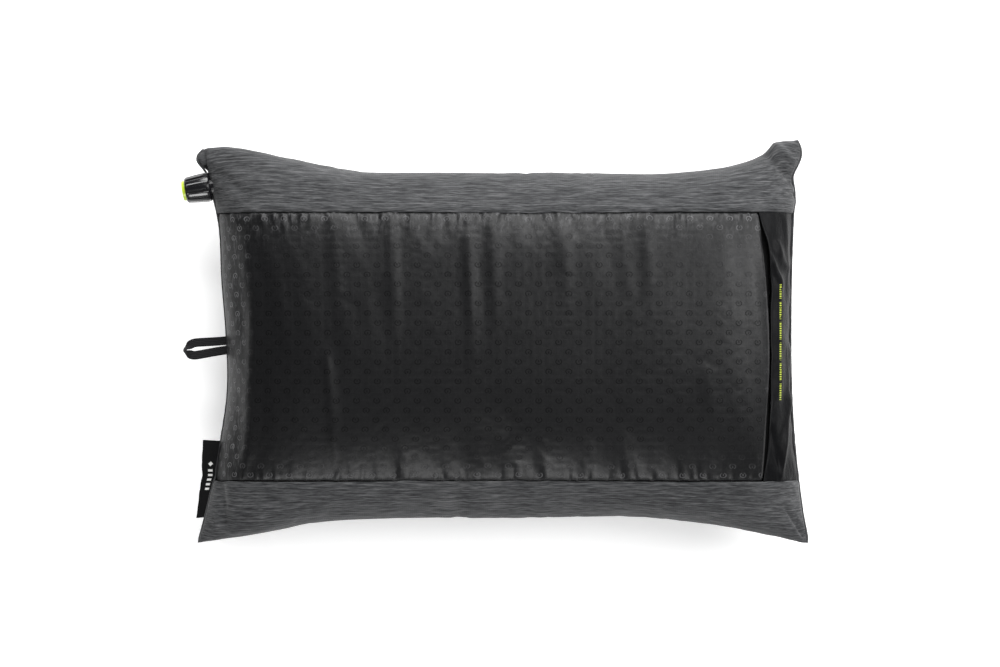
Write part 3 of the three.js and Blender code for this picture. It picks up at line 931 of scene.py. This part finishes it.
def uprightCylinder(name, sides, radius, height):
    bpy.ops.object.select_all(action="DESELECT")
    bpy.ops.mesh.primitive_cylinder_add(vertices=sides, radius=radius, depth=height,
                                        location=(0, 0, height / 2))
    piece = bpy.context.object
    piece.name = name
    bpy.ops.object.transform_apply(location=True, rotation=True, scale=True)
    startEditing(piece)
    return piece


def selectFaces(piece, test):
    # selects by the face's middle and normal
    bpy.ops.mesh.select_mode(type="FACE")
    bpy.ops.mesh.select_all(action="DESELECT")
    bpy.ops.object.mode_set(mode="OBJECT")
    for face in piece.data.polygons:
        face.select = bool(test(face.center, face.normal))
    bpy.ops.object.mode_set(mode="EDIT")


def selectPoints(piece, test):
    bpy.ops.mesh.select_mode(type="VERT")
    bpy.ops.mesh.select_all(action="DESELECT")
    bpy.ops.object.mode_set(mode="OBJECT")
    for point in piece.data.vertices:
        point.select = bool(test(point.co))
    bpy.ops.object.mode_set(mode="EDIT")


def layOnValve(piece, bottom):
    bpy.ops.object.mode_set(mode="OBJECT")
    piece.data.transform(Matrix.Translation((0, 0, bottom)))
    turn = Matrix.Rotation(math.radians(90 + valve["tilt"]), 4, "Z") @ Matrix.Rotation(-math.pi / 2, 4, "X")
    piece.data.transform(Matrix.Translation(valve["seat"]) @ turn)


def buildGrip():
    height = valve["gripTop"] - valve["gripBottom"]
    piece = uprightCylinder("valveGrip", valve["sides"], valve["gripRadius"], height)
    for level, _ in valve["profile"][1:-1]:
        bpy.ops.mesh.select_all(action="SELECT")
        bpy.ops.mesh.bisect(plane_co=(0, 0, level), plane_no=(0, 0, 1))
    for level, radius in valve["profile"]:
        selectPoints(piece, lambda co: abs(co.z - level) < 1e-5)
        factor = radius / valve["gripRadius"]
        bpy.ops.transform.resize(value=(factor, factor, 1), center_override=(0, 0, level))
    # flutes: every second group of side faces is inset and pushed in
    step = 2 * math.pi / valve["flutes"]
    low, high = valve["profile"][1][0], valve["profile"][-2][0]

    def inFlute(centre, normal):
        angle = math.atan2(centre.y, centre.x) % step
        return abs(normal.z) < 0.7 and low < centre.z < high and 0.22 * step < angle < 0.78 * step

    selectFaces(piece, inFlute)
    bpy.ops.mesh.inset(thickness=0.0005, use_even_offset=True)
    bpy.ops.transform.shrink_fatten(value=-valve["fluteDepth"])
    # the socket that the button sits in
    selectFaces(piece, lambda centre, normal: normal.z > 0.9 and centre.z > height - 1e-5)
    bpy.ops.mesh.inset(thickness=valve["profile"][-1][1] - valve["socketRadius"])
    bpy.ops.mesh.extrude_region_move(TRANSFORM_OT_translate={"value": (0, 0, -valve["socketDepth"])})
    selectFaces(piece, lambda centre, normal: normal.z < -0.9 and centre.z < 1e-5)
    bpy.ops.mesh.inset(thickness=0.0022)
    bpy.ops.mesh.extrude_region_move(TRANSFORM_OT_translate={"value": (0, 0, 0.0012)})
    layOnValve(piece, valve["gripBottom"])
    bevel(piece, 0.00022, 2, 28)
    turnOutward(piece, 35)
    return assign(piece, "grip_plastic", "grip", "valve_collar")


def buildButton():
    height = valve["buttonTop"] - valve["buttonBottom"]
    piece = uprightCylinder("valveButton", valve["buttonSides"], valve["buttonRadius"], height)
    selectFaces(piece, lambda centre, normal: normal.z > 0.9)
    bpy.ops.mesh.inset(thickness=0.0007)
    bpy.ops.mesh.inset(thickness=0.0030)
    bpy.ops.transform.translate(value=(0, 0, -valve["dishDepth"]))
    selectFaces(piece, lambda centre, normal: normal.z < -0.9)
    bpy.ops.mesh.inset(thickness=0.0052)
    bpy.ops.mesh.extrude_region_move(TRANSFORM_OT_translate={"value": (0, 0, -valve["stemLength"])})
    bpy.ops.transform.resize(value=(0.75, 0.75, 1), center_override=(0, 0, -valve["stemLength"]))
    layOnValve(piece, valve["buttonBottom"])
    bevel(piece, 0.0004, 3, 28)
    turnOutward(piece, 35)
    return assign(piece, "button_plastic", "button", "valve_button")


pieces["grip"] = buildGrip()
pieces["button"] = buildButton()
print("valve made")


# Materials
class Socket:
    def __init__(self, tree, socket):
        self.tree, self.socket = tree, socket

    def combine(self, operation, other, swap=False):
        values = [self.socket, getattr(other, "socket", other)]
        maths = self.tree.nodes.new("ShaderNodeMath")
        maths.operation = operation
        for slot, value in zip(maths.inputs, values[::-1] if swap else values):
            if isinstance(value, bpy.types.NodeSocket):
                self.tree.links.new(value, slot)
            else:
                slot.default_value = value
        return Socket(self.tree, maths.outputs[0])

    def __add__(self, other):
        return self.combine("ADD", other)

    def __radd__(self, other):
        return self.combine("ADD", other)

    def __sub__(self, other):
        return self.combine("SUBTRACT", other)

    def __rsub__(self, other):
        return self.combine("SUBTRACT", other, True)

    def __mul__(self, other):
        return self.combine("MULTIPLY", other)

    def __rmul__(self, other):
        return self.combine("MULTIPLY", other)

    def __truediv__(self, other):
        return self.combine("DIVIDE", other)

    def __pow__(self, other):
        return self.combine("POWER", other)

    def __gt__(self, other):
        return self.combine("GREATER_THAN", other)

    def __lt__(self, other):
        return self.combine("LESS_THAN", other)

    def __mod__(self, other):
        return self.combine("FLOORED_MODULO", other)

    def atLeast(self, other):
        return self.combine("MAXIMUM", other)

    def atMost(self, other):
        return self.combine("MINIMUM", other)

    def __abs__(self):
        return self.combine("ABSOLUTE", 0)

    def sine(self):
        return self.combine("SINE", 0)

    def floor(self):
        return self.combine("FLOOR", 0)


class Finish:
    def __init__(self, name, **shader):
        self.material = bpy.data.materials.new(name)
        self.material.use_nodes = True
        self.tree = self.material.node_tree
        self.shader = self.tree.nodes["Principled BSDF"]
        for socketName, value in shader.items():
            self.shader.inputs[socketName.replace("_", " ")].default_value = value

    def node(self, kind, settings=None, output=0, **inputs):
        made = self.tree.nodes.new("ShaderNode" + kind)
        for name, value in (settings or {}).items():
            if name == "stops":
                ramp = made.color_ramp
                while len(ramp.elements) < len(value):
                    ramp.elements.new(0.5)
                for element, (place, colour) in zip(ramp.elements, value):
                    element.position, element.color = place, (*colour, 1)
            else:
                setattr(made, name, value)
        for name, value in inputs.items():
            slot = made.inputs[int(name[1:])] if name[0] == "i" and name[1:].isdigit() else made.inputs[name]
            if isinstance(value, Socket):
                self.tree.links.new(value.socket, slot)
            else:
                slot.default_value = value
        return Socket(self.tree, made.outputs[output])

    def feed(self, **links):
        for name, value in links.items():
            self.tree.links.new(value.socket, self.shader.inputs[name.replace("_", " ")])
        return self

    def flat(self, x=1.0, y=1.0):
        place = self.node("UVMap", {"uv_map": "flat"})
        return self.node("Mapping", {}, Vector=place, Scale=(x, y, 1))

    def object(self, x=1.0, y=1.0, z=1.0):
        place = self.node("TexCoord", {}, output=3)
        return self.node("Mapping", {}, Vector=place, Scale=(x, y, z))

    def split(self, vector):
        parts = self.node("SeparateXYZ", {}, Vector=vector)
        outputs = parts.socket.node.outputs
        return [Socket(self.tree, outputs[i]) for i in range(3)]

    def noise(self, vector, detail=3.0, roughness=0.55, distortion=0.0):
        return self.node("TexNoise", {}, Vector=vector, Scale=1.0, Detail=detail, Roughness=roughness,
                         Distortion=distortion)

    def mix(self, factor, *colours):
        first, second = (c if isinstance(c, Socket) else (*c, 1) for c in colours)
        return self.node("Mix", {"data_type": "RGBA"}, output=2, i0=factor, i6=first, i7=second)

    def bump(self, height, distance, strength=1.0):
        return self.node("Bump", {}, Height=height, Distance=distance, Strength=strength)


def heatherKnit():
    finish = Finish("heatherKnit", Roughness=0.9, Specular_IOR_Level=0.25, Sheen_Weight=0.12,
                    Sheen_Roughness=0.45)
    streak = finish.noise(finish.flat(62, 900), 3.0, 0.62, 0.35)
    fine = finish.noise(finish.flat(210, 2000), 2.0, 0.6)
    patch = finish.noise(finish.flat(10, 60), 2.0, 0.5)
    tone = streak * 0.64 + fine * 0.26 + patch * 0.10
    colour = finish.node("ValToRGB", {"stops": [
        (0.37, (0.010, 0.0103, 0.011)), (0.455, (0.030, 0.031, 0.033)), (0.54, (0.056, 0.057, 0.059)),
        (0.65, (0.105, 0.106, 0.109))]}, Fac=tone)
    rib = (finish.split(finish.flat())[1] * (2 * math.pi / 0.0011)).sine()
    loops = (finish.split(finish.flat())[0] * (2 * math.pi / 0.0013)).sine()
    height = rib * 0.35 + loops * rib * 0.2 + streak * 1.2 + fine * 0.8
    return finish.feed(Base_Color=colour, Normal=finish.bump(height, 0.00016, 0.7)).material


def coatedRipstop(name, printed):
    # nearly black cloth, whose shine is all in the coating; either embossed or printed
    finish = Finish(name, Roughness=0.5, Coat_Roughness=0.36, Coat_IOR=1.4,
                    Specular_IOR_Level=0.05 if printed else 0.13)
    x, y, _ = finish.split(finish.flat())
    cloud = finish.noise(finish.flat(28, 28), 4.0, 0.6)
    weave = finish.noise(finish.flat(1500, 1500), 2.0, 0.5)
    gridX = (abs((x / 0.0052) % 1.0 - 0.5) > 0.46) * 1.0
    gridY = (abs((y / 0.0052) % 1.0 - 0.5) > 0.46) * 1.0
    ripstop = gridX.atLeast(gridY)
    crease = finish.noise(finish.flat(95, 60), 5.0, 0.62, 0.6)
    crinkle = finish.noise(finish.flat(330, 120), 4.0, 0.65, 0.4)
    mottle = finish.noise(finish.flat(420, 420), 3.0, 0.6)
    atBorder = ((abs(y) / 0.099) ** 9 + (abs(x) / 0.208) ** 14).atMost(1.0)
    height = crease * 1.2 + weave * 0.12 + ripstop * 0.12 + crinkle * atBorder * 3.6
    height = height + crinkle * (1.8 if printed else 0.3) + mottle * 1.0
    colour = finish.mix(cloud, (0.0020, 0.0021, 0.0025), (0.0042, 0.0043, 0.0049))
    shine = (cloud * 0.25 + mottle * 0.5 + ripstop * 0.06 + 0.02) * (0.25 if printed else 1.0)
    if not printed:
        # the marks are painted darker than the cloth, as painted shade in their pressed-in hollows, and
        # painted lighter, as painted highlights, where the cloth is gathered or turns down at the seams and
        # ends
        mark = embossedMark(finish, x, y)
        endZone = ((abs(x) - 0.172) / 0.014).atLeast(0.0).atMost(1.0)
        upperSeamGlintZone = ((y / 0.097).atLeast(0.0) ** 8).atMost(1.0)
        # where the painted highlight on the marks goes: near the long seams, at the ends and toward the upper
        # right
        turned = (abs(y) / 0.096) ** 9 + endZone
        turned = turned + (x / 0.185).atLeast(0.0) ** 3 * (y / 0.09).atLeast(0.0) ** 1.5 * 0.6
        paintedMarkHighlight = mark * turned.atMost(1.0)
        # painted glint: light specks where the crinkle noise is high
        paintedGlintSpecks = ((crinkle - 0.52) * 7.0).atLeast(0.0).atMost(1.0)
        # painted shade: the marks' colour is darkened towards near black
        colour = finish.mix(mark * 0.75, colour, (0.0012, 0.0012, 0.0014))
        # painted highlight: the marks turn light grey near the long seams and the ends, where the cloth turns
        # down
        colour = finish.mix(paintedMarkHighlight * (crinkle * 1.3 - 0.1), colour, (0.15, 0.15, 0.155))
        # painted glints: the specks are coloured light grey near the upper seam and at the ends
        colour = finish.mix(paintedGlintSpecks * (upperSeamGlintZone * 0.45 + endZone * 0.30), colour, (0.13, 0.13, 0.135))
        shine = shine * (1.0 - mark * 0.9) * (1.0 - endZone * 0.55)
        height = height - mark * 2.6
    else:
        placeX, placeY, _ = finish.split(finish.object())
        tick = (abs((placeY / 0.0016) % 1.0 - 0.5) < 0.29) * (abs((placeY / 0.0143) % 1.0 - 0.5) < 0.43)
        column = (abs(placeX - 0.1988) < 0.0007) * (placeY > -0.041) * (placeY < 0.040)
        worn = finish.noise(finish.object(700, 700, 700), 2.0) > 0.38
        colour = finish.mix(tick * column * worn * 0.9, colour, (0.40, 0.47, 0.06))
    finish.feed(Base_Color=colour, Coat_Weight=shine, Normal=finish.bump(height, 0.00022, 0.85))
    return finish.material


def embossedMark(finish, x, y):
    # small open rings in brick order, every second row turned end for end
    pitchX, pitchY, radius, halfLine = 0.0135, 0.0067, 0.0020, 0.00040
    line = (y / pitchY).floor()
    odd = line % 2.0
    cellX = ((x / pitchX + odd * 0.5) % 1.0 - 0.5) * pitchX
    cellY = ((y / pitchY) % 1.0 - 0.5) * pitchY * (1.0 - odd * 2.0)
    reach = ((cellX * cellX) + (cellY * cellY * 1.35)) ** 0.5
    ring = abs(reach - radius) < halfLine
    gap = (cellY > 0.0009) * (abs(cellX) < 0.0007)
    stem = (abs(cellX) < 0.0004) * (cellY > -0.0004) * (cellY < 0.0012)
    return (ring * (1.0 - gap)).atLeast(stem)


def plainCloth(name, colour, roughness, pitch):
    finish = Finish(name, Roughness=roughness, Specular_IOR_Level=0.3)
    x, y, _ = finish.split(finish.object())
    warp = (x * (2 * math.pi / pitch)).sine() * (y * (2 * math.pi / pitch)).sine()
    fleck = finish.noise(finish.object(900, 900, 900), 2.0)
    shade = finish.mix(fleck, tuple(c * 0.7 for c in colour), tuple(c * 1.35 for c in colour))
    return finish.feed(Base_Color=shade, Normal=finish.bump(warp * 0.5 + fleck, 0.0001, 0.6)).material


def plastic(name, colour, roughness, coat):
    finish = Finish(name, Roughness=roughness, Coat_Weight=coat, Coat_Roughness=0.06)
    wear = finish.noise(finish.object(260, 260, 260), 4.0, 0.6)
    rough = wear * 0.12 + roughness - 0.05
    shade = finish.mix(wear, tuple(c * 0.85 for c in colour), tuple(c * 1.15 for c in colour))
    height = finish.noise(finish.object(1800, 1800, 1800), 2.0)
    return finish.feed(Base_Color=shade, Roughness=rough,
                       Normal=finish.bump(height, 0.00002, 0.4)).material


def ribbedWebbing():
    finish = Finish("ribbedWebbing", Roughness=0.75, Specular_IOR_Level=0.14)
    along, across, _ = finish.split(finish.flat())
    rib = abs((across * (math.pi / 0.0012)).sine())
    pick = abs((along * (math.pi / 0.0009)).sine())
    fibre = finish.noise(finish.flat(500, 4000), 3.0)
    height = rib * 1.0 + pick * 0.35 + fibre * 0.3
    # the colour follows the ribs: lighter on their crests and darker in the grooves, which is painted
    # highlight and painted shade; the fibre noise adds random tone
    shade = finish.mix(rib * 0.6 + fibre * 0.4, (0.0010, 0.0010, 0.0012), (0.0190, 0.0190, 0.0210))
    return finish.feed(Base_Color=shade, Normal=finish.bump(height, 0.00035, 0.8)).material


def wovenLabel():
    finish = Finish("wovenLabel", Roughness=0.7, Specular_IOR_Level=0.10)
    across, along, _ = finish.split(finish.flat())
    twill = ((across * 1.0 + along * 1.0) * (2 * math.pi / 0.0007)).sine()
    weft = (along * (2 * math.pi / 0.00045)).sine()
    # a plain row of short bars in white yarn, and one lozenge
    place = (along - 0.0185) / 0.0032
    bars = (abs(across - 0.0062) < 0.0017) * (abs(place % 1.0 - 0.5) < 0.24) * (place > 0) * (place < 5)
    lozenge = (abs(across - 0.0062) + abs(along - 0.0375)) < 0.0017
    mark = bars.atLeast(lozenge)
    black = finish.mix(twill * 0.5 + 0.5, (0.0020, 0.0020, 0.0024), (0.0048, 0.0048, 0.0052))
    shade = finish.mix(mark, black, (0.62, 0.62, 0.61))
    height = twill * 0.4 + weft * 0.3 + mark * 0.9
    return finish.feed(Base_Color=shade, Normal=finish.bump(height, 0.00012, 0.7)).material


def film():
    finish = Finish("bladderFilm", Roughness=0.4)
    haze = finish.noise(finish.object(55, 55, 55), 4.0, 0.6)
    weave = finish.noise(finish.object(1400, 1400, 1400), 2.0)
    shade = finish.mix(haze, (0.20, 0.215, 0.235), (0.30, 0.315, 0.335))
    return finish.feed(Base_Color=shade, Roughness=haze * 0.2 + 0.32,
                       Normal=finish.bump(haze * 2.0 + weave * 0.3, 0.0004, 0.7)).material


def openFoam():
    finish = Finish("openFoam", Roughness=0.95)
    cells = finish.node("TexVoronoi", {"feature": "F1"}, Vector=finish.object(), Scale=620.0)
    blotch = finish.noise(finish.object(20, 20, 20), 3.0)
    shade = finish.mix(cells * 0.6 + blotch * 0.4, (0.66, 0.64, 0.57), (0.80, 0.78, 0.72))
    return finish.feed(Base_Color=shade, Normal=finish.bump(cells, 0.0006, 0.9)).material


def silicone():
    finish = Finish("silicone", Roughness=0.45)
    cloud = finish.noise(finish.object(300, 300, 300), 3.0)
    shade = finish.mix(cloud, (0.52, 0.54, 0.56), (0.62, 0.64, 0.66))
    return finish.feed(Base_Color=shade, Roughness=cloud * 0.2 + 0.35).material


def springWire():
    finish = Finish("springWire", Metallic=1.0)
    drawn = finish.noise(finish.object(900, 200, 900), 3.0)
    shade = finish.mix(drawn, (0.50, 0.50, 0.51), (0.66, 0.66, 0.67))
    return finish.feed(Base_Color=shade, Roughness=drawn * 0.2 + 0.22).material


finishes = {
    "knit": heatherKnit(),
    "ripstop": coatedRipstop("embossedRipstop", False),
    "facing": coatedRipstop("printedRipstop", True),
    "lining": plainCloth("liningCloth", (0.004, 0.004, 0.0045), 0.85, 0.0006),
    "tape": plainCloth("seamTape", (0.008, 0.008, 0.009), 0.8, 0.0009),
    "webbing": ribbedWebbing(),
    "label": wovenLabel(),
    "film": film(),
    "foam": openFoam(),
    "grip": plastic("gripBlack", (0.0032, 0.0031, 0.0042), 0.22, 0.25),
    "button": plastic("buttonLime", (0.50, 0.66, 0.035), 0.34, 0.2),
    "silicone": silicone(),
    "spring": springWire(),
}
pieceFinishes = {
    "knit": "knit", "panel": "ripstop", "hem": "ripstop", "facing": "facing", "lining": "lining",
    "leftEndSeam": "knit", "rightEndSeam": "knit", "upperSkin": "film", "lowerSkin": "film", "foam": "foam",
    "loop": "webbing", "label": "label", "grip": "grip", "button": "button",
}
nodeFinishes = {
    "side_seam_tape_left": "tape", "side_seam_tape_right": "tape", "bladder_baffle_1": "film",
    "bladder_baffle_2": "film", "bladder_baffle_3": "film", "valve_base": "grip", "collar_o_ring": "silicone",
    "poppet_seal": "silicone", "valve_spring": "spring", "stem_clip": "spring",
}
for key, finishName in pieceFinishes.items():
    pieces[key].data.materials.clear()
    pieces[key].data.materials.append(finishes[finishName])
for node, finishName in nodeFinishes.items():
    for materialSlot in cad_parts[node].material_slots:
        materialSlot.material = finishes[finishName]
print("materials made")

# Camera, floor and lights
cameraData = bpy.data.cameras.new("camera")
cameraData.lens = 102
cameraData.clip_start = 0.05
camera = bpy.data.objects.new("camera", cameraData)
camera.location = (0.0035, 0.0053, 2.048)
scene.collection.objects.link(camera)
scene.camera = camera

# each lamp: place, size and power
studio = {
    "floorSize": 6,
    "world": 0.14,
    "glow": 0.34,               # of the floor itself
    "key": ((0.3, 3.0, 1.6), 2.9, 172),
    "right": ((2.0, 0.8, 1.9), 1.8, 62),
    "fill": ((-0.4, -2.6, 1.7), 1.5, 54),
    "top": ((0.9, 0.6, 2.5), 1.5, 15),
}
bpy.ops.object.select_all(action="DESELECT")
bpy.ops.mesh.primitive_plane_add(size=studio["floorSize"])
floor = bpy.context.object
floor.name = "floor"
floorFinish = Finish("floorPaper", Roughness=0.9, Emission_Color=(1, 1, 1, 1),
                     Emission_Strength=studio["glow"])
grain = floorFinish.noise(floorFinish.object(60, 60, 60), 2.0)
floorFinish.feed(Base_Color=floorFinish.mix(grain, (0.90, 0.90, 0.90), (0.93, 0.93, 0.93)))
floor.data.materials.append(floorFinish.material)


def areaLight(name, place, size, power):
    data = bpy.data.lights.new(name, "AREA")
    data.shape, data.size, data.energy = "DISK", size, power
    lamp = bpy.data.objects.new(name, data)
    lamp.location = place
    lamp.rotation_euler = (Vector((0, 0, 0.05)) - lamp.location).to_track_quat("-Z", "Y").to_euler()
    scene.collection.objects.link(lamp)


for lampName in ("key", "right", "fill", "top"):
    areaLight(lampName, *studio[lampName])
world = bpy.data.worlds.new("studio")
world.use_nodes = True
world.node_tree.nodes["Background"].inputs["Color"].default_value = (1, 1, 1, 1)
world.node_tree.nodes["Background"].inputs["Strength"].default_value = studio["world"]
scene.world = world
scene.view_settings.view_transform = "Standard"
